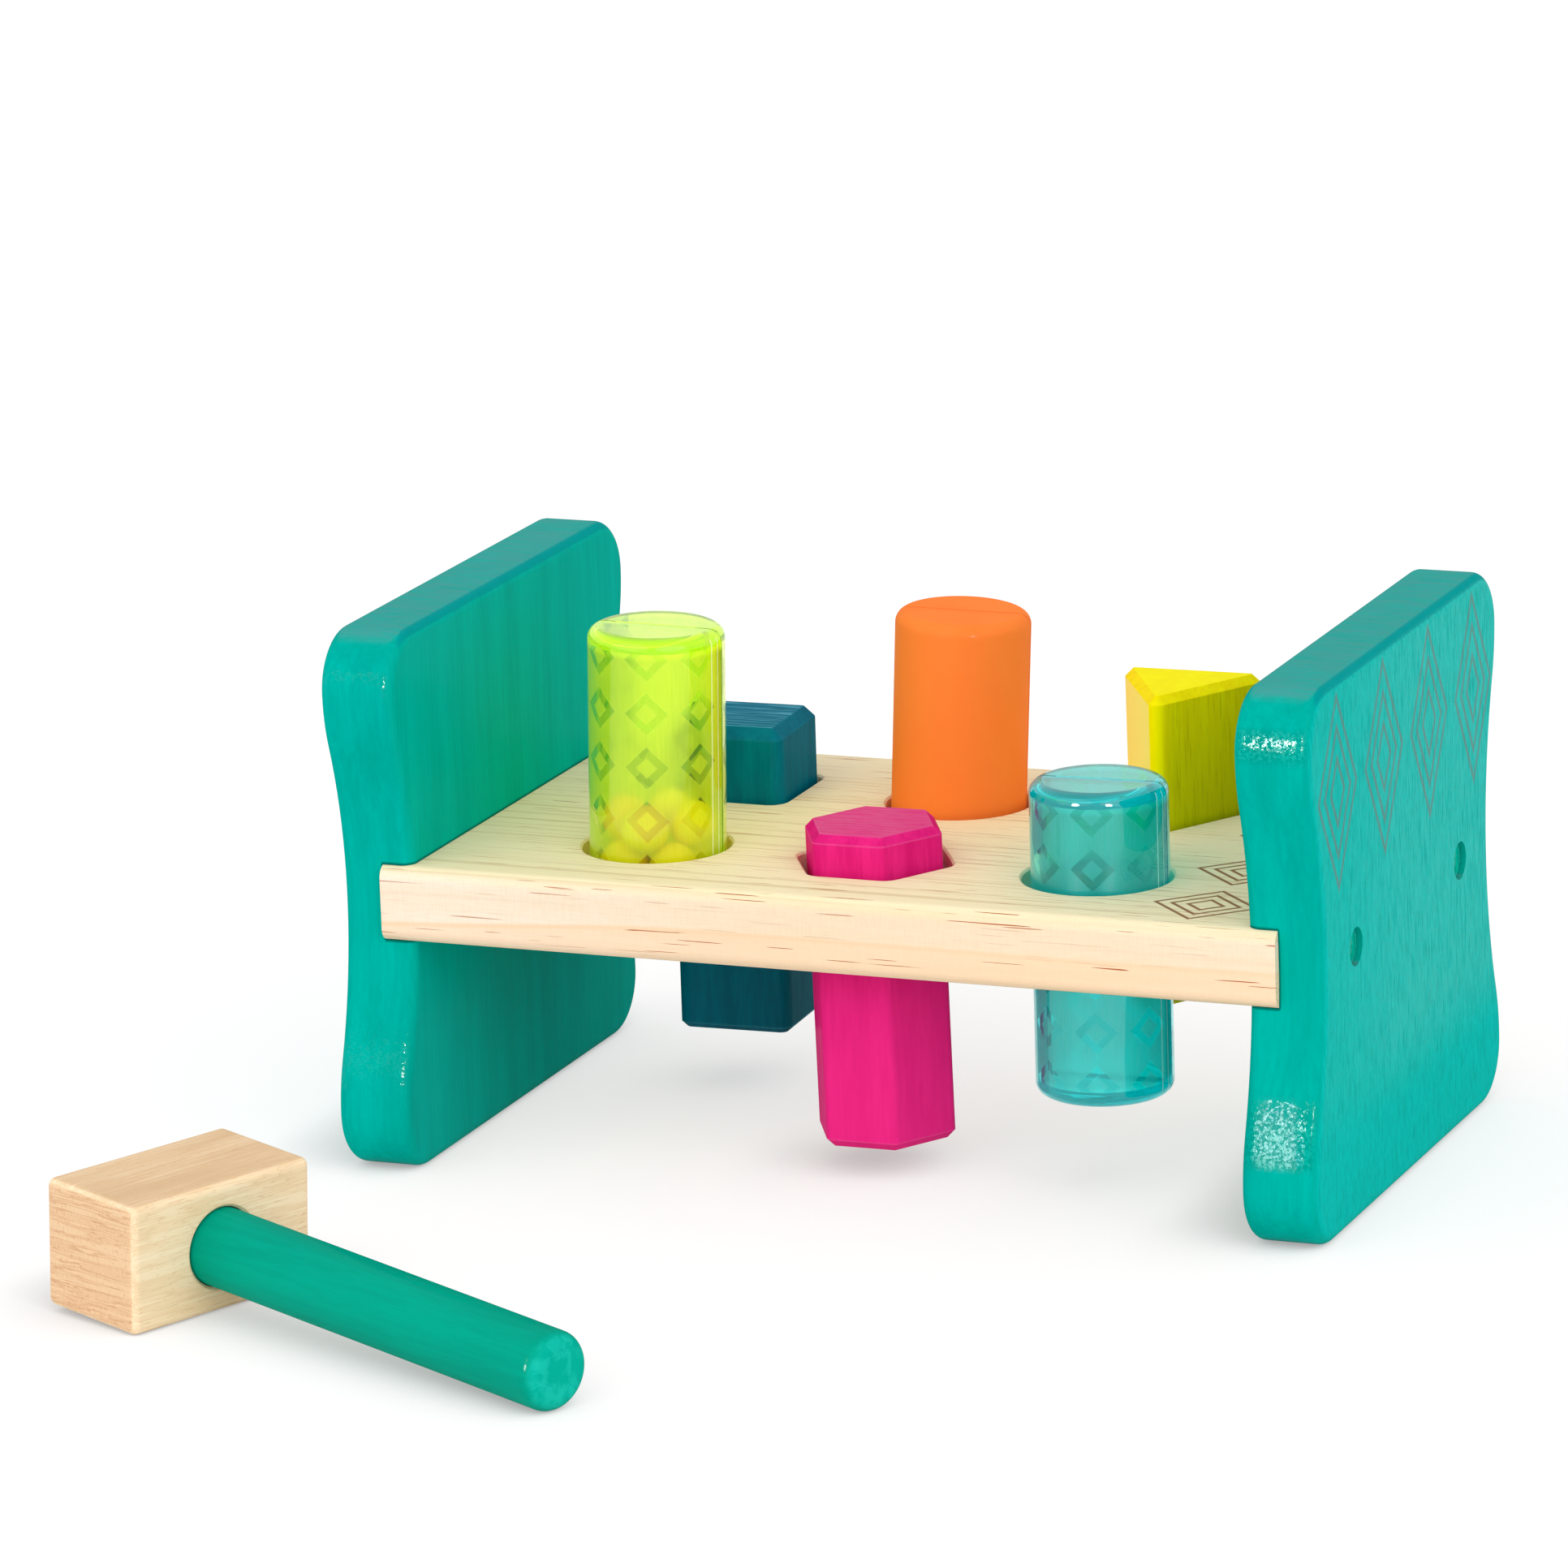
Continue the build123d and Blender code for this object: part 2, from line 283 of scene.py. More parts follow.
def add_sun(name, strength, azimuth, elevation, spread):
    """Broad soft light from far away."""
    sun = bpy.data.objects.new(name, bpy.data.lights.new(name, "SUN"))
    sun.data.energy = strength
    sun.data.angle = radians(spread)
    sun.matrix_world = looking_back(towards(azimuth, elevation))
    bpy.context.collection.objects.link(sun)


def add_glint(name, azimuth, distance, width, power, spread):
    """Softbox near a panel's front that shows only as a highlight on glossy faces."""
    lamp = bpy.data.objects.new("glint", bpy.data.lights.new("glint", "AREA"))
    lamp.data.shape = "RECTANGLE"
    lamp.data.size, lamp.data.size_y = width, glint_height
    lamp.data.energy = power
    lamp.data.spread = radians(spread)
    low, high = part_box(name)
    out = towards(azimuth, glint_elevation)
    target = Vector(((low.x + high.x) / 2, low.y, low.z + glint_centre_share * (high.z - low.z)))
    lamp.matrix_world = Matrix.Translation(target + out * distance) @ looking_back(out)
    lamp.visible_camera = False
    lamp.visible_diffuse = False
    lamp.visible_transmission = False
    bpy.context.collection.objects.link(lamp)


def new_material(name):
    """An empty material and its node tree."""
    material = bpy.data.materials.new(name)
    material.use_nodes = True
    material.node_tree.nodes.clear()
    return material, material.node_tree


def finish_material(tree, shader):
    """Puts a shader on the surface."""
    node(tree, "OutputMaterial", {"Surface": shader.outputs[0]})


def floor_material():
    """Plain pale floor, seen as an even white sheet with a soft shade round what stands on it."""
    material, tree = new_material("floor")
    plain = node(tree, "BsdfDiffuse", {"Color": floor_lighting})
    shaded = node(tree, "BsdfDiffuse", {"Color": floor_seen})
    tilt = node(tree, "CombineXYZ", dict(zip("XYZ", contact_tilt))).outputs[0]
    inputs = {"Distance": contact_reach, "Normal": tilt}
    # The glow is dimmed where a tilted occlusion test finds things close by: a painted contact shadow.
    open_share = node(tree, "AmbientOcclusion", inputs, samples=16).outputs["AO"]
    strength = smooth(tree, open_share, 0.3, 1.0, floor_glow * (1 - contact_darkness), floor_glow)
    glow = node(tree, "Emission", {"Color": white, "Strength": strength})
    bright = node(tree, "AddShader", {0: shaded.outputs[0], 1: glow.outputs[0]})
    mixed = node(tree, "MixShader", {0: seen_directly(tree), 1: plain.outputs[0], 2: bright.outputs[0]})
    finish_material(tree, mixed)
    return material


def add_floor():
    """Square sheet just below the feet of the bench."""
    half = floor_width / 2
    corners = [(x * half, y * half, -floor_drop) for x, y in ((-1, -1), (1, -1), (1, 1), (-1, 1))]
    mesh = bpy.data.meshes.new("floor")
    mesh.from_pydata(corners, [], [(0, 1, 2, 3)])
    floor = bpy.data.objects.new("floor", mesh)
    bpy.context.collection.objects.link(floor)
    mesh.materials.append(floor_material())


def give(material, *names):
    """Dresses CAD nodes in a material, through their own slots."""
    for name in names:
        slots = nodes[name].material_slots
        slots[0].material = material


def grain_space(tree, turn=0.0):
    """Object coordinates, turned about the vertical so that a slanted piece's grain can follow it."""
    inputs = {"Vector": object_place(tree), "Angle": radians(-turn)}
    return node(tree, "VectorRotate", inputs, rotation_type="Z_AXIS").outputs[0]


def streaks(tree, space, size, detail=2.0, roughness=0.5, bend=0.0, shift=0.0):
    """Noise whose blobs measure size, a length along each axis. Bend makes them wander."""
    scale = node(tree, "Mapping", {"Vector": space, "Location": (shift, shift, shift),
                                   "Scale": tuple(1 / length for length in size)}).outputs[0]
    inputs = {"Vector": scale, "Scale": 1.0, "Detail": detail, "Roughness": roughness, "Distortion": bend}
    return node(tree, "TexNoise", inputs).outputs["Fac"]


def stretched(axis, across, along):
    """Size of a grain blob that lies along an axis."""
    return tuple(along if letter == axis else across for letter in "XYZ")


def even(length):
    """Size of a blob that is as long each way."""
    return (length, length, length)


def bumped(tree, height, distance, strength=1.0, normal=None):
    """Directions of a face that a pattern makes uneven."""
    inputs = {"Height": height, "Distance": distance, "Strength": strength}
    if normal is not None:
        inputs["Normal"] = normal
    return node(tree, "Bump", inputs).outputs[0]


def softened(tree, radius):
    """Directions of the faces as if their edges were rounded off."""
    return node(tree, "Bevel", {"Radius": radius}, samples=4).outputs[0]


def alignment(tree, first, second):
    """Cosine of the angle between two directions."""
    return node(tree, "VectorMath", {0: first, 1: second}, operation="DOT_PRODUCT").outputs["Value"]


def edges(tree, radius):
    """1 on a sharp edge and 0 away from it."""
    along = alignment(tree, softened(tree, radius), face_direction(tree))
    return smooth(tree, minus(tree, 1.0, along), 0.01, 0.12)


def facing(tree, axis, low=0.8, high=0.95):
    """1 on faces square to an axis, either way, and 0 on the others."""
    return smooth(tree, unsigned(tree, alignment(tree, face_direction(tree), axis)), low, high)


def turned_to(tree, direction, low=0.6, high=0.9):
    """1 on faces turned to a direction, and 0 on the others."""
    return smooth(tree, alignment(tree, face_direction(tree), direction), low, high)


def up_share(tree, name):
    """How far up a piece a point is, from 0 at its foot to 1 at its top."""
    low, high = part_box(name)
    height = split_up(tree, grain_space(tree))["Z"]
    return node(tree, "MapRange", {"Value": height, "From Min": low.z, "From Max": high.z}).outputs["Result"]


def outer_face(tree, split):
    """1 on the outer faces of both end panels, and 0 on the others."""
    middle = bench_middle().x
    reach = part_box("right_end_panel")[1].x - middle
    outward = times(tree, minus(tree, split["X"], middle), split_up(tree, face_direction(tree))["X"])
    return smooth(tree, outward, 0.75 * reach, 0.98 * reach)


def burnt_lozenges(tree, across, up, pitch, tall, line):
    """1 on the thin lines of a row of nested lozenges, and 0 off them."""
    along_row = apart(tree, math_node(tree, "FRACT", times(tree, across, 1 / pitch)), 0.5)
    out = plus(tree, along_row, unsigned(tree, times(tree, up, 1 / tall)))
    lines = 0.0
    for share in nested_shares:
        outline = smooth(tree, apart(tree, out, share), line / pitch, 0.4 * line / pitch)
        lines = larger(tree, lines, outline)
    return lines


def stain(tree, space, light, dark, across, along, axis="Z"):
    """Stained wood: light between the grain lines and dark on them. Gives the colour and two grains."""
    broad = streaks(tree, space, stretched(axis, 6 * across, 5 * along))
    fine = streaks(tree, space, stretched(axis, across, along), detail=3, bend=0.4)
    thin = streaks(tree, space, stretched(axis, across / 3, along / 2.5), detail=2, shift=7.3)
    tone = plus(tree, times(tree, broad, 0.55), times(tree, fine, 0.45))
    lines = plus(tree, times(tree, smooth(tree, thin, 0.34, 0.52), 0.3), 0.7)
    return blend(tree, times(tree, lines, smooth(tree, tone, 0.32, 0.68)), dark, light), fine, thin


def end_grain(tree, space, colour, end, scuff=None):
    """Tints the flat top and foot, where the end grain took the stain unevenly, and draws scuffs on them."""
    top = facing(tree, (0, 0, 1))
    mottle = streaks(tree, space, end_mottle, detail=4, roughness=0.65, bend=0.8, shift=1.7)
    colour = blend(tree, times(tree, top, smooth(tree, mottle, 0.35, 0.6, 0.35, 1.0)), colour, end)
    if scuff:
        rubbed = streaks(tree, space, end_scuff, detail=3, roughness=0.6, bend=0.6, shift=6.1)
        colour = blend(tree, times(tree, top, smooth(tree, rubbed, 0.48, 0.62, 0.0, 0.8)), colour, scuff)
    return colour


def lacquer(tree, space, colour, fine, thin, weight=0.03, gloss=0.07, soft=0.0):
    """Lacquer over stained wood, with the faint ripple of a sprayed coat. Soft rounds the edges off."""
    ripple = streaks(tree, space, even(ripple_size), detail=1, shift=3.1)
    under = softened(tree, soft) if soft else None
    return node(tree, "BsdfPrincipled", {
        "Base Color": colour, "Roughness": smooth(tree, fine, 0.3, 0.7, 0.42, 0.55),
        "Normal": bumped(tree, thin, stained_depth, 0.35, under), "Specular IOR Level": 0.0,
        "Coat Weight": weight, "Coat Roughness": gloss,
        "Coat Normal": bumped(tree, ripple, ripple_depth, 1.0, under),
    })


def bare_wood(tree, colour, rough, grain):
    """Sanded wood without a coat, its grain just felt."""
    return node(tree, "BsdfPrincipled", {
        "Base Color": colour, "Roughness": rough, "Normal": bumped(tree, grain, bare_depth, 0.3),
        "Specular IOR Level": bare_wood_shine,
    })


def joint_gap_shade(tree, split):
    """1 on the thin lines of painted shadow round the board's ends, in the gaps where it meets the panels'
    housings.
    """
    low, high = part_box("peg_board")
    reach = (high.x - low.x) / 2
    past_end, past_face = joint_corner
    from_middle = apart(tree, split["X"], (low.x + high.x) / 2)
    off_face = math_node(tree, "MINIMUM", apart(tree, split["Z"], low.z), apart(tree, split["Z"], high.z))
    along_faces = times(tree, smooth(tree, off_face, *face_joint_shade),
                        smooth(tree, from_middle, reach + past_end, reach))
    down_end = times(tree, smooth(tree, apart(tree, from_middle, reach), *end_joint_shade),
                     between(tree, split["Z"], low.z - past_face, low.z, high.z, high.z + past_face))
    return larger(tree, along_faces, down_end)


def panel_stain(tree, space, outside, ticks):
    """Teal stain, mottled on the top and open-grained on the outer face. The top's end-grain tint is partly a
    painted grey sheen, the outer face is painted lighter and the roundings along the top painted darker.
    Gives the colour and two grains.
    """
    light, dark = srgb(0, 177, 163), srgb(0, 163, 149)
    colour, fine, thin = stain(tree, space, light, dark, across=0.0012, along=0.02)
    # The top's grey-teal tint is the end grain's uneven stain and also a painted grey sheen of its grazing
    # reflection.
    colour = end_grain(tree, space, colour, end=srgb(66, 158, 152))
    # Painted light: the outer face is made a lighter teal than the front.
    colour = blend(tree, outside, colour, srgb(0, 188, 178))
    dark_ticks = times(tree, outside, smooth(tree, ticks, 0.52, 0.66, 0.0, 0.45))
    colour = blend(tree, dark_ticks, colour, srgb(0, 140, 128))
    pores = streaks(tree, space, stretched("Z", across=0.0004, along=0.0026), detail=2, shift=9.6)
    open_pores = times(tree, outside, smooth(tree, pores, 0.48, 0.62, 0.0, 0.38))
    colour = blend(tree, open_pores, colour, srgb(0, 152, 140))
    # Painted shade: the roundings along the top are made darker than the flat top.
    roundings = [turned_to(tree, (side * 0.7, 0, 0.7), 0.88, 0.96) for side in (-1, 1)]
    painted_rounding_shade = times(tree, larger(tree, *roundings), 0.7)
    return blend(tree, painted_rounding_shade, colour, srgb(0, 142, 146)), fine, thin


def panel_lozenges(tree, split, outside, ticks):
    """1 on the burnt lines high on the outer face, a little broken by its grain."""
    low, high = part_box("right_end_panel")
    from_middle = minus(tree, split["Y"], (low.y + high.y) / 2)
    from_row = minus(tree, split["Z"], low.z + panel_row_share * (high.z - low.z))
    pitch = (high.y - low.y) / panel_row_pitches
    burnt = burnt_lozenges(tree, from_middle, from_row, pitch, **panel_lozenge)
    return times(tree, burnt, outside, smooth(tree, ticks, 0.30, 0.45, 0.55, 0.85))


def gloss_and_painted_highlight(tree, space, split, front):
    """Speckled patches on the front edge, at the foot and the top. Gives painted dark specks and a painted
    pale highlight haze in the colour, and the coat's gloss.
    """
    low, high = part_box("right_end_panel")
    share = up_share(tree, "right_end_panel")
    foot = between(tree, share, *foot_patch_shares)
    patch = larger(tree, foot, between(tree, share, *top_patch_shares))
    speck = streaks(tree, space, even(speck_size), detail=2, roughness=0.7, shift=8.8)
    speckled = smooth(tree, plus(tree, speck, times(tree, patch, 0.16)), 0.58, 0.74)
    speckled = times(tree, speckled, smooth(tree, patch, 0.0, 0.15))
    rounded = minus(tree, 1.0, facing(tree, (0, 1, 0), 0.93, 0.99))
    at_right = smooth(tree, split["X"], bench_middle().x, high.x)
    painted_specks = times(tree, patch, front, at_right, smooth(tree, speckled, 0.6, 0.2, 0.0, 0.4))
    inset = between(tree, smooth(tree, split["X"], low.x, high.x), *highlight_haze_across_shares)
    painted_haze = times(tree, foot, front, inset, smooth(tree, speck, 0.42, 0.60, 0.14, 0.60))
    strength = minus(tree, 0.15, times(tree, foot, at_right, 0.11))
    gloss = times(tree, front, speckled, larger(tree, at_right, rounded), strength)
    return painted_specks, painted_haze, gloss


def panel_veil(tree, split, outside, ticks):
    """Faint gloss between the grain lines of the outer face, fading to its front and its foot."""
    low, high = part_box("right_end_panel")
    backward = smooth(tree, minus(tree, split["Y"], (low.y + high.y) / 2), *veil_y, 0.35, 1.0)
    off_foot = smooth(tree, up_share(tree, "right_end_panel"), 0.14, 0.30)
    return times(tree, outside, off_foot, smooth(tree, ticks, 0.62, 0.42, 0.3, 1.0), backward, 0.17)


def teal_panel():
    """Lacquered teal panels with burnt lozenges outside, painted shadow in the board's joints, and glossy
    patches on the front edge that carry painted specks and a painted highlight haze.
    """
    material, tree = new_material("teal_lacquer")
    space = grain_space(tree)
    split = split_up(tree, space)
    outside = outer_face(tree, split)
    tick_size = stretched("Z", across=0.0006, along=0.008)
    ticks = streaks(tree, space, tick_size, detail=3, roughness=0.6, shift=4.4)
    colour, fine, thin = panel_stain(tree, space, outside, ticks)
    colour = blend(tree, panel_lozenges(tree, split, outside, ticks), colour, srgb(92, 134, 128))
    # Painted shadow in the gaps where the board meets the housings.
    colour = blend(tree, times(tree, joint_gap_shade(tree, split), 0.75), colour, srgb(0, 78, 70))
    front = turned_to(tree, (0, -1, 0), 0.5, 0.9)
    painted_specks, painted_haze, gloss = gloss_and_painted_highlight(tree, space, split, front)
    # Painted dark specks and a painted pale highlight haze in the glossy patches.
    colour = blend(tree, painted_specks, colour, srgb(0, 120, 110))
    colour = blend(tree, painted_haze, colour, srgb(120, 210, 198))
    elsewhere = smooth(tree, front, 0.0, 1.0, 0.03, 0.0)
    weight = plus(tree, elsewhere, plus(tree, gloss, panel_veil(tree, split, outside, ticks)))
    finish_material(tree, lacquer(tree, space, colour, fine, thin, weight))
    return material


def teal_plugs():
    """Teal stain on the small round plugs, painted lighter against the shade of their recess, with a painted
    highlight on their rims.
    """
    material, tree = new_material("teal_plug_lacquer")
    space = grain_space(tree)
    # Painted light: the plugs' stain is set lighter than the panels' to offset the shade of their recess.
    light, dark = srgb(0, 204, 178), srgb(0, 152, 128)
    colour, fine, thin = stain(tree, space, light, dark, across=0.0012, along=0.006)
    # Painted highlight on the plugs' rims.
    colour = blend(tree, edges(tree, radius=0.0008), colour, srgb(90, 225, 205))
    finish_material(tree, lacquer(tree, space, colour, fine, thin, weight=0.5, gloss=0.12))
    return material


def teal_handle():
    """Teal green stain along the dowel, blotchy on its domed end."""
    material, tree = new_material("teal_handle_lacquer")
    turn = handle_turn()
    space = grain_space(tree, turn)
    light, dark = srgb(0, 164, 138), srgb(0, 152, 128)
    colour, fine, thin = stain(tree, space, light, dark, across=0.0016, along=0.02, axis="X")
    heading = (cos(radians(turn)), sin(radians(turn)), 0)
    blotch = streaks(tree, space, even(0.004), detail=3, roughness=0.6, bend=0.6, shift=2.6)
    end = blend(tree, smooth(tree, blotch, 0.4, 0.62), srgb(0, 172, 150), srgb(20, 188, 168))
    colour = blend(tree, turned_to(tree, heading, 0.30, 0.92), colour, end)
    finish_material(tree, lacquer(tree, space, colour, fine, thin, weight=0.05))
    return material


def magenta_wood():
    """Magenta stain, with painted light brightening it low down, and edges lightened by wear and a painted
    highlight.
    """
    material, tree = new_material("magenta_lacquer")
    space = grain_space(tree)
    light, dark = srgb(232, 38, 128), srgb(214, 24, 114)
    colour, fine, thin = stain(tree, space, light, dark, across=0.0010, along=0.010)
    # Painted light: the peg is made brighter low down, below the board, where shade falls on it.
    painted_light_low = smooth(tree, up_share(tree, "magenta_peg"), 0.62, 0.45, 0.0, 0.45)
    colour = blend(tree, painted_light_low, colour, srgb(248, 44, 140))
    colour = end_grain(tree, space, colour, end=srgb(222, 84, 140))
    # Edges lightened by wear and by a painted highlight.
    colour = blend(tree, times(tree, edges(tree, radius=0.0006), 0.55), colour, srgb(245, 120, 175))
    finish_material(tree, lacquer(tree, space, colour, fine, thin, weight=0.06, soft=worn_edge))
    return material


def navy_wood():
    """Dark blue stain, its edges lightened by wear and a painted highlight, and scuffed on the top."""
    material, tree = new_material("navy_lacquer")
    space = grain_space(tree)
    light, dark = srgb(0, 112, 134), srgb(0, 94, 116)
    colour, fine, thin = stain(tree, space, light, dark, across=0.0016, along=0.016)
    colour = end_grain(tree, space, colour, end=srgb(0, 108, 136), scuff=srgb(84, 166, 190))
    # Edges lightened by wear and by a painted highlight.
    colour = blend(tree, times(tree, edges(tree, radius=0.0009), 0.75), colour, srgb(60, 150, 175))
    finish_material(tree, lacquer(tree, space, colour, fine, thin, weight=0.08))
    return material


def painted_right_face_shade(tree, space, colour):
    """Painted shade on the yellow peg's right face, where the right panel shadows it: darker low down and
    towards its back edge, with dark streaks.
    """
    low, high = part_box("yellow_peg")
    front_edge = (low.x + high.x) / 2
    across = split_up(tree, space)["X"]
    off_edge = smooth(tree, across, *[front_edge + reach for reach in right_shade_reach])
    right = times(tree, turned_to(tree, (0.87, -0.5, 0)), off_edge)
    darker_low = smooth(tree, up_share(tree, "yellow_peg"), 1.0, 0.5, 0.35, 0.85)
    shaded_right = blend(tree, smooth(tree, across, front_edge, high.x), srgb(216, 206, 4), srgb(186, 174, 4))
    colour = blend(tree, times(tree, right, darker_low), colour, shaded_right)
    shade_streaks = streaks(tree, space, stretched("Z", across=0.0006, along=0.012), detail=2, shift=5.5)
    dark_shade_streaks = times(tree, right, smooth(tree, shade_streaks, 0.52, 0.66, 0.0, 0.3))
    return blend(tree, dark_shade_streaks, colour, srgb(156, 144, 0))


def yellow_wood():
    """Yellow stain, with a painted pale sheen on the left face, painted shade with dark streaks on the right
    one, and bright on the front edge.
    """
    material, tree = new_material("yellow_lacquer")
    space = grain_space(tree)
    light, dark = srgb(255, 236, 5), srgb(240, 210, 0)
    colour, fine, thin = stain(tree, space, light, dark, across=0.0014, along=0.014)
    # Painted sheen: the left face, which faces the light, is made paler.
    colour = blend(tree, turned_to(tree, (-0.87, -0.5, 0), 0.9, 0.98), colour, srgb(255, 244, 120))
    colour = blend(tree, times(tree, turned_to(tree, (0, 0, 1)), 0.6), colour, srgb(255, 250, 10))
    # Painted shade on the right face, which the right panel shadows.
    colour = painted_right_face_shade(tree, space, colour)
    colour = blend(tree, turned_to(tree, (0, -1, 0)), colour, srgb(255, 238, 0))
    finish_material(tree, lacquer(tree, space, colour, fine, thin, weight=0.06, soft=worn_edge))
    return material


def pine_grain(tree, space, split, broad, fine):
    """Pale pine that grows darker and warmer to the right, its grain lines clearer on the flat faces than on
    the edge.
    """
    flat = facing(tree, (0, 0, 1), 0.5, 0.95)
    lines = streaks(tree, space, pine_line, detail=2, bend=0.6, shift=2.0)
    ticks = streaks(tree, space, stretched("Z", across=0.0005, along=0.004), detail=2, shift=11.0)
    colour = blend(tree, smooth(tree, broad, 0.35, 0.65), srgb(253, 240, 226), srgb(249, 231, 209))
    colour = blend(tree, smooth(tree, split["X"], *warming_x, 0.0, 0.50), colour, srgb(240, 210, 168))
    colour = blend(tree, flat, colour, srgb(255, 242, 212))
    strength = plus(tree, times(tree, flat, 0.42), 0.08)
    drawn = times(tree, smooth(tree, lines, 0.53, 0.66), strength)
    colour = blend(tree, drawn, colour, srgb(186, 154, 114))
    colour = blend(tree, smooth(tree, fine, 0.35, 0.65, 0.0, 0.10), colour, srgb(220, 188, 140))
    return blend(tree, smooth(tree, ticks, 0.4, 0.65, 0.0, 0.08), colour, srgb(225, 180, 130))


def two_tone(tree, split, share, colour):
    """A darker, warmer tone low on the board's edge, below a darker line that varies in height, and a warm
    rim.
    """
    band = plus(tree, share, smooth(tree, split["X"], *shifting_x, 0.29, 0.09))
    colour = blend(tree, smooth(tree, band, 0.60, 0.54, 0.0, 0.45), colour, srgb(250, 210, 168))
    line = times(tree, between(tree, band, *band_line_shares), 0.5)
    colour = blend(tree, line, colour, srgb(244, 206, 164))
    return blend(tree, smooth(tree, share, 0.80, 0.92, 0.0, 0.35), colour, srgb(248, 226, 168))


def flecks(tree, space, share):
    """1 on short brown flecks along the grain, most of them near the board's rim and low on its edge."""
    fleck = streaks(tree, space, pine_fleck, detail=1, shift=9.0)
    near_rim = smooth(tree, share, 0.76, 0.84)
    banded = larger(tree, larger(tree, near_rim, between(tree, share, *low_fleck_shares)), 0.2)
    return times(tree, smooth(tree, fleck, 0.685, 0.71), banded, 0.95)


def board_lozenges(tree, split):
    """1 on the burnt lines across the board's top, between the yellow peg and the right panel."""
    low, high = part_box("peg_board")
    strip = (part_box("yellow_peg")[1].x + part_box("right_end_panel")[0].x) / 2
    along_row = minus(tree, split["Y"], (low.y + high.y) / 2)
    burnt = burnt_lozenges(tree, along_row, minus(tree, split["X"], strip), **board_lozenge)
    return times(tree, burnt, turned_to(tree, (0, 0, 1), 0.9, 0.98))


def bare_pine():
    """Sanded pine with flecks, a two-tone edge and burnt lozenges."""
    material, tree = new_material("bare_pine")
    space = grain_space(tree)
    split = split_up(tree, space)
    broad = streaks(tree, space, stretched("X", across=0.012, along=0.16), detail=2, bend=0.6)
    fine = streaks(tree, space, stretched("X", across=0.0005, along=0.006), detail=2, shift=5.0)
    wander = times(tree, minus(tree, broad, 0.5), 0.15)
    share = plus(tree, up_share(tree, "peg_board"), wander)
    colour = pine_grain(tree, space, split, broad, fine)
    colour = two_tone(tree, split, share, colour)
    colour = blend(tree, flecks(tree, space, share), colour, srgb(176, 84, 22))
    colour = blend(tree, times(tree, board_lozenges(tree, split), 0.9), colour, srgb(136, 74, 28))
    finish_material(tree, bare_wood(tree, colour, smooth(tree, fine, 0.3, 0.7, 0.5, 0.62), fine))
    return material


def beech_end(tree, space):
    """End grain of the mallet's head: faint wavy rings crossed by short rays."""
    rings = streaks(tree, space, beech_ring, detail=3, roughness=0.6, bend=1.0, shift=12.0)
    rays = streaks(tree, space, beech_ray, detail=1, shift=14.0)
    end = blend(tree, smooth(tree, rings, 0.42, 0.60, 0.0, 0.18), srgb(238, 202, 162), srgb(208, 152, 110))
    ring_lines = times(tree, between(tree, rings, 0.47, 0.50, 0.51, 0.54), 0.55)
    end = blend(tree, ring_lines, end, srgb(200, 142, 98))
    return blend(tree, smooth(tree, rays, 0.58, 0.68, 0.0, 0.35), end, srgb(190, 130, 90))


def bare_beech():
    """Sanded beech with thin grain lines and short flecks on the long sides, its top painted darker as shade
    and its sides lighter as lit.
    """
    material, tree = new_material("bare_beech")
    turn = handle_turn()
    space = grain_space(tree, turn)
    broad = streaks(tree, space, stretched("Y", across=0.007, along=0.05), detail=3, bend=0.5)
    lines = streaks(tree, space, beech_line, detail=2, bend=0.3, shift=4.0)
    fleck = streaks(tree, space, stretched("Y", across=0.0004, along=0.0024), detail=1, shift=8.0)
    tone = smooth(tree, plus(tree, times(tree, broad, 0.6), times(tree, lines, 0.4)), 0.35, 0.65)
    # Lit and shaded copies of the wood: the long sides painted lighter, the top painted darker.
    side = blend(tree, tone, srgb(255, 232, 196), srgb(246, 214, 172))
    top = blend(tree, tone, srgb(236, 206, 168), srgb(222, 188, 148))
    colour = blend(tree, facing(tree, (0, 0, 1)), side, top)
    thin_lines = times(tree, between(tree, lines, 0.45, 0.49, 0.51, 0.55), 0.30)
    colour = blend(tree, thin_lines, colour, srgb(224, 180, 130))
    colour = blend(tree, smooth(tree, fleck, 0.62, 0.7, 0.0, 0.22), colour, srgb(200, 140, 92))
    along_head = (-sin(radians(turn)), cos(radians(turn)), 0)
    colour = blend(tree, facing(tree, along_head), colour, beech_end(tree, space))
    colour = blend(tree, times(tree, edges(tree, radius=0.0012), 0.35), colour, srgb(226, 168, 112))
    finish_material(tree, bare_wood(tree, colour, smooth(tree, lines, 0.3, 0.7, 0.48, 0.6), fleck))
    return material


def lets_lamps_through(tree, shader, tint):
    """Clear plastic lets the lamps reach what is behind it."""
    path = node(tree, "LightPath").outputs
    lit = larger(tree, path["Is Shadow Ray"], path["Is Diffuse Ray"])
    clear = node(tree, "BsdfTransparent", {"Color": tint})
    return node(tree, "MixShader", {0: lit, 1: shader.outputs[0], 2: clear.outputs[0]})


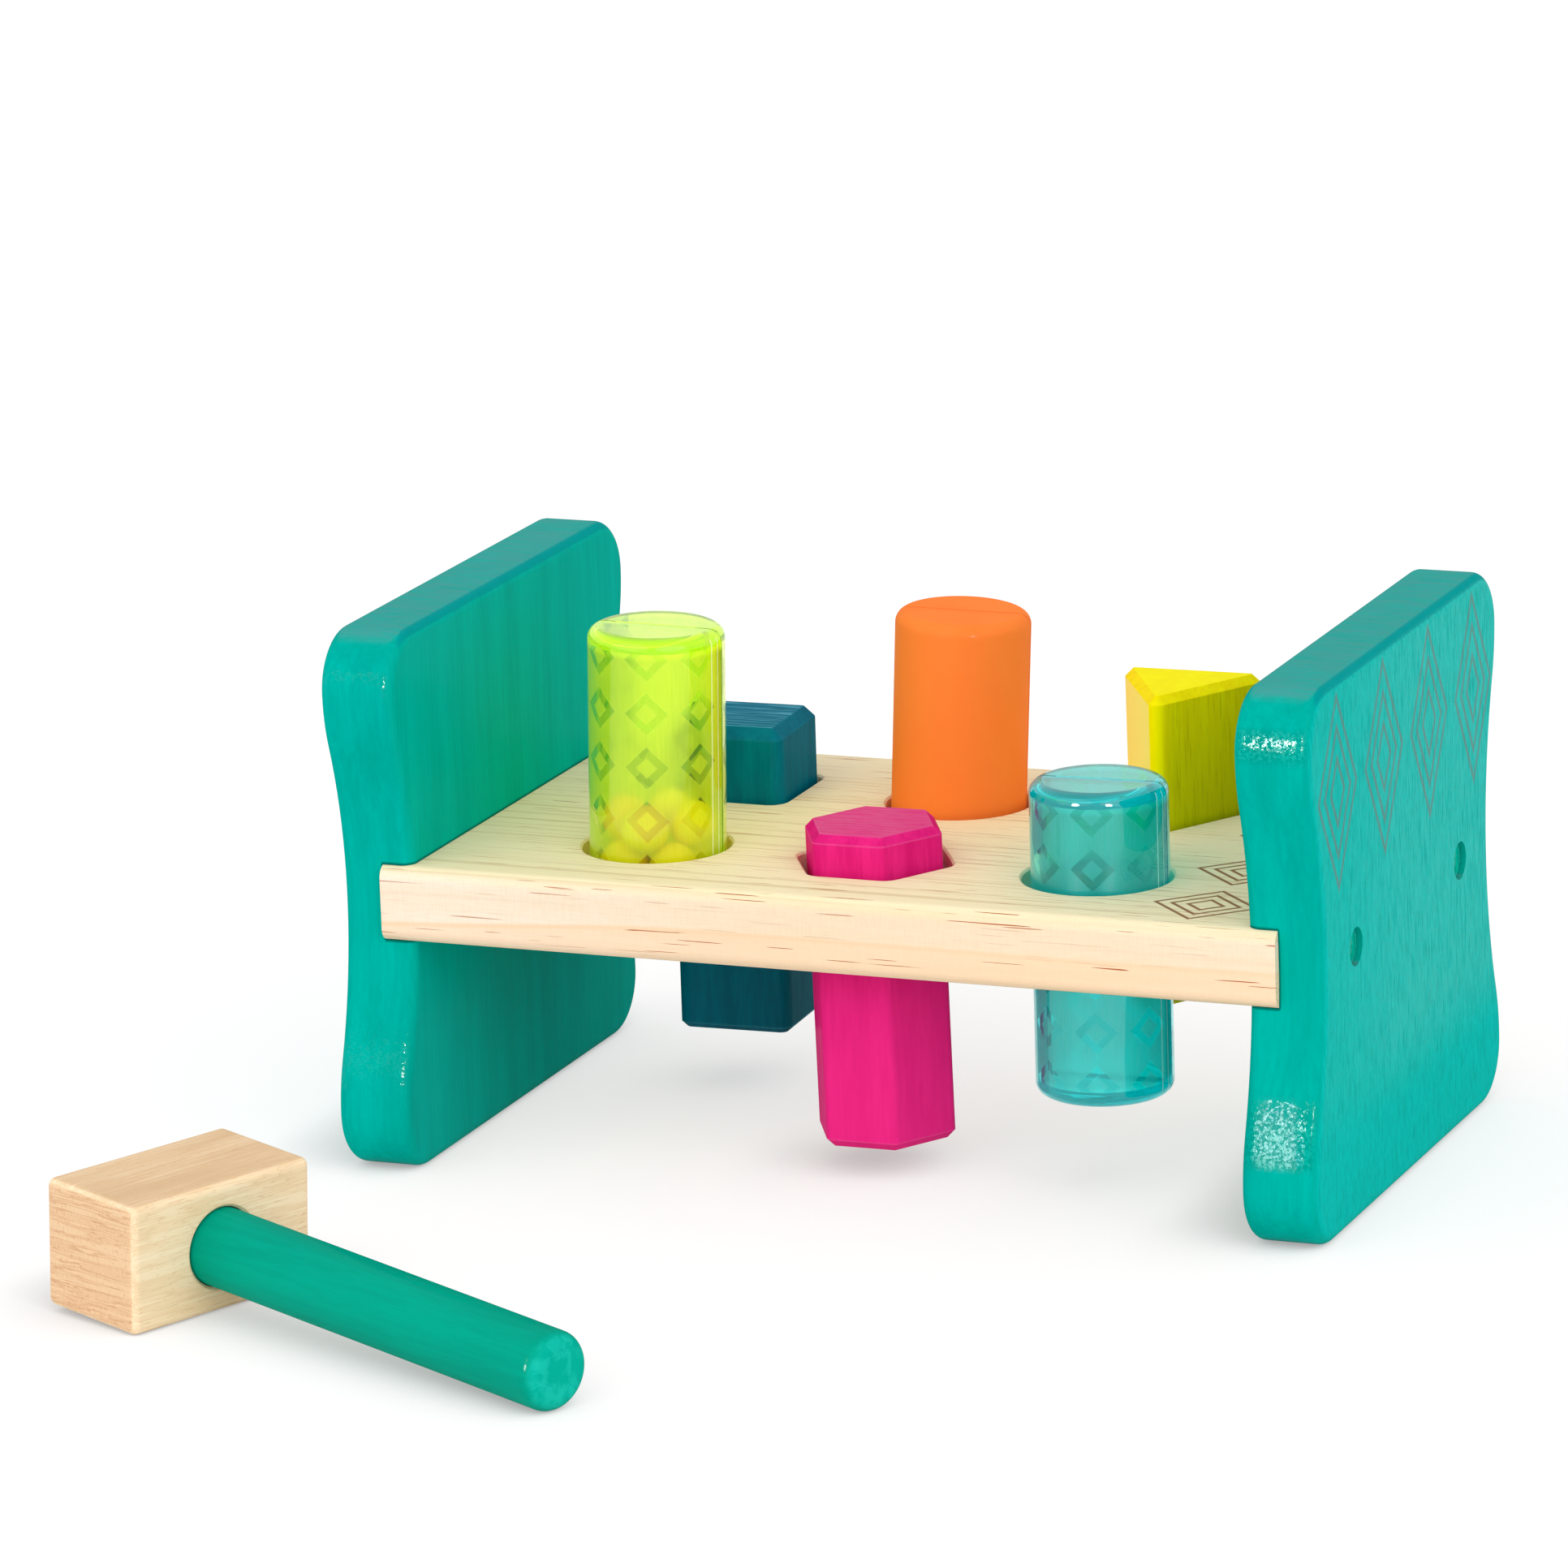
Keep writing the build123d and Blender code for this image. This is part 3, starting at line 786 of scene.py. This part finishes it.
def round_wall(tree, peg):
    """Where a point is on a round peg: its distance from the axis, its angle round it and its height."""
    low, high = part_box(peg + "_front_shell")
    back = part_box(peg + "_back_shell")[1]
    joint = [joint for joint in frame["joints"] if joint["child"] == peg][0]
    axis = Vector(joint["axis"])
    middle = Vector(((low.x + high.x) / 2, (low.y + back.y) / 2, (low.z + high.z) / 2))
    inputs = {0: object_place(tree), 1: middle}
    offset = node(tree, "VectorMath", inputs, operation="SUBTRACT").outputs[0]
    inputs = {"Vector": offset, "Angle": -atan2(axis.x, axis.z)}
    split = split_up(tree, node(tree, "VectorRotate", inputs, rotation_type="Y_AXIS").outputs[0])
    flat = node(tree, "CombineXYZ", {"X": split["X"], "Y": split["Y"]}).outputs[0]
    radius = node(tree, "VectorMath", {0: flat}, operation="LENGTH").outputs["Value"]
    angle = math_node(tree, "ARCTAN2", split["Y"], split["X"])
    return radius, angle, split["Z"]


def clear_lozenges(tree, angle, height):
    """1 inside nested lozenges on a round wall, in straight rows and columns."""
    round_way = times(tree, angle, clear_lozenges_round / (2 * pi))
    up_way = times(tree, height, 1 / clear_lozenge_pitch)
    spans = [apart(tree, math_node(tree, "FRACT", way), 0.5) for way in (round_way, up_way)]
    out = plus(tree, *spans)
    return times(tree, smooth(tree, out, 0.18, 0.205), smooth(tree, out, 0.405, 0.38))


def inner_wall(tree, radius, height):
    """1 on the inner face of a hollow peg's wall, and 0 off it."""
    on_radius = between(tree, radius, *[inner_radius + offset for offset in inner_skin])
    within = smooth(tree, unsigned(tree, height), *[inner_half_height + offset for offset in inner_end_skin])
    return times(tree, on_radius, within)


def seam_ridges(tree, radius, angle):
    """1 on the thin upright ridges that stand beside the seam on a round peg's outer face."""
    half_angle = ridge_half_width / outer_radius
    ridges = 0.0
    for ridge_angle in ridge_angles:
        off = apart(tree, angle, -radians(ridge_angle))
        ridges = larger(tree, ridges, smooth(tree, off, half_angle, 0.3 * half_angle))
    return times(tree, ridges, smooth(tree, radius, *[outer_radius + offset for offset in outer_skin]))


def clear_plastic(name, peg, plate, window, frost, ridge_highlight, depth_colour, density, glow, painted_wall_glow, painted_rim_glow):
    """Clear moulded plastic that deepens with thickness, with ridges beside the seam drawn pale and milky as
    painted highlight lines.

    Its wall is frosted inside, between clear windows, and glows faintly with painted light, most near its top
    and foot."""
    material, tree = new_material(name)
    radius, angle, height = round_wall(tree, peg)
    lining = inner_wall(tree, radius, height)
    clear = clear_lozenges(tree, angle, height)
    frosted = times(tree, lining, minus(tree, 1.0, clear))
    brushed = streaks(tree, grain_space(tree), stretched("Z", across=0.0004, along=0.006), detail=2)
    hazy = blend(tree, smooth(tree, brushed, 0.3, 0.7, 0.35, 0.0), frost, window)
    colour = blend(tree, frosted, blend(tree, times(tree, lining, clear), plate, window), hazy)
    ridges = seam_ridges(tree, radius, angle)
    # Painted highlight: the ridges beside the seam are drawn pale and milky.
    colour = blend(tree, ridges, colour, ridge_highlight)
    milk = larger(tree, times(tree, frosted, 0.38), times(tree, ridges, 0.7))
    near_end = smooth(tree, unsigned(tree, height), inner_half_height - wall, inner_half_height)
    rim = times(tree, near_end, minus(tree, 1.0, facing(tree, (0, 0, 1), 0.9, 0.98)))
    # The emission is a painted glow, faint on the wall and stronger near its ends.
    shader = node(tree, "BsdfPrincipled", {
        "Base Color": colour, "Roughness": smooth(tree, frosted, 0.0, 1.0, 0.03, 0.25), "IOR": 1.49,
        "Transmission Weight": minus(tree, 1.0, milk),
        "Emission Color": glow, "Emission Strength": smooth(tree, rim, 0.0, 1.0, painted_wall_glow, painted_rim_glow),
    })
    mixed = lets_lamps_through(tree, shader, plate)
    depth = node(tree, "VolumeAbsorption", {"Color": depth_colour, "Density": density})
    node(tree, "OutputMaterial", {"Surface": mixed.outputs[0], "Volume": depth.outputs[0]})
    return material


def plain_plastic(name, colour, deep, rough, soft=0.0, seam=None):
    """Solid coloured plastic, a little uneven in tone, with a darker line along its seam if one is given."""
    material, tree = new_material(name)
    space = grain_space(tree)
    cloud = streaks(tree, space, stretched("Z", across=0.012, along=0.03), detail=2)
    tone = blend(tree, smooth(tree, cloud, 0.3, 0.7, 0.0, 0.5), colour, deep)
    if seam:
        tone = blend(tree, times(tree, edges(tree, radius=0.0006), 0.8), tone, seam)
    fine = streaks(tree, space, even(0.0009), detail=2, shift=3.0)
    shader = node(tree, "BsdfPrincipled", {
        "Base Color": tone, "Roughness": smooth(tree, fine, 0.3, 0.7, rough, rough + 0.06),
        "Normal": bumped(tree, fine, hard_skin_depth, 0.2),
        "Subsurface Weight": soft, "Subsurface Scale": light_depth,
        "Specular IOR Level": 0.0, "Coat Weight": 0.06, "Coat Roughness": 0.2,
    })
    finish_material(tree, shader)
    return material


def rubber():
    """Matt pale rubber of the grip rings."""
    material, tree = new_material("soft_rubber")
    dust = streaks(tree, grain_space(tree), even(0.002), detail=3)
    shader = node(tree, "BsdfPrincipled", {
        "Base Color": blend(tree, dust, srgb(215, 208, 196), srgb(190, 182, 170)),
        "Roughness": smooth(tree, dust, 0.3, 0.7, 0.7, 0.85), "Normal": bumped(tree, dust, rubber_depth, 0.3),
    })
    finish_material(tree, shader)
    return material


def zinc_steel():
    """Zinc-plated steel of the screws."""
    material, tree = new_material("zinc_steel")
    film = streaks(tree, grain_space(tree), even(0.002), detail=3)
    shader = node(tree, "BsdfPrincipled", {
        "Base Color": blend(tree, film, srgb(205, 208, 214), srgb(176, 184, 200)), "Metallic": 1.0,
        "Roughness": smooth(tree, film, 0.3, 0.7, 0.25, 0.4),
        "Normal": bumped(tree, film, hard_skin_depth, 0.3),
    })
    finish_material(tree, shader)
    return material


def green_plastic():
    """Clear yellow-green plastic of the round peg with beads."""
    return clear_plastic("clear_green_plastic", "green_peg", plate=srgb(250, 255, 205),
                         window=srgb(180, 222, 10), frost=srgb(226, 242, 84), ridge_highlight=srgb(240, 255, 190),
                         depth_colour=srgb(240, 252, 0), density=160.0,
                         glow=srgb(200, 230, 0), painted_wall_glow=0.045, painted_rim_glow=0.16)


def teal_plastic():
    """Clear teal plastic of the round peg in the front row."""
    return clear_plastic("clear_teal_plastic", "teal_peg", plate=srgb(205, 245, 245),
                         window=srgb(10, 196, 192), frost=srgb(136, 200, 190), ridge_highlight=srgb(190, 240, 240),
                         depth_colour=srgb(0, 247, 247), density=300.0,
                         glow=srgb(0, 180, 184), painted_wall_glow=0.06, painted_rim_glow=0.15)


def orange_plastic():
    """Solid orange plastic of the round peg in the back row."""
    return plain_plastic("orange_plastic", srgb(255, 134, 58), deep=srgb(255, 124, 50), rough=0.36,
                         soft=0.1, seam=srgb(214, 80, 20))


def bead_plastic():
    """Glossy yellow plastic of the beads."""
    return plain_plastic("yellow_bead_plastic", srgb(255, 222, 10), deep=srgb(255, 160, 5), rough=0.2)


add_camera()
bpy.context.scene.view_settings.view_transform = "Standard"
add_sky()
add_sun("key", **key_sun)
add_sun("fill", **fill_sun)
add_glint("right_end_panel", **flat_glint)
add_glint("right_end_panel", **edge_glint)
add_glint("left_end_panel", **edge_glint)
add_floor()

give(teal_panel(), "left_end_panel", "right_end_panel")
give(teal_plugs(), "left_screw_plugs", "right_screw_plugs")
give(teal_handle(), "mallet_handle")
give(magenta_wood(), "magenta_peg")
give(navy_wood(), "navy_peg")
give(yellow_wood(), "yellow_peg")
give(bare_pine(), "peg_board")
give(bare_beech(), "mallet_head")
give(green_plastic(), "green_peg_front_shell", "green_peg_back_shell")
give(teal_plastic(), "teal_peg_front_shell", "teal_peg_back_shell")
give(orange_plastic(), "orange_peg_front_shell", "orange_peg_back_shell")
give(bead_plastic(), "green_peg_beads")
give(rubber(), *[name for name in nodes if name.endswith("_grip_ring")])
give(zinc_steel(), "left_panel_screws", "right_panel_screws")

bpy.context.view_layer.update()
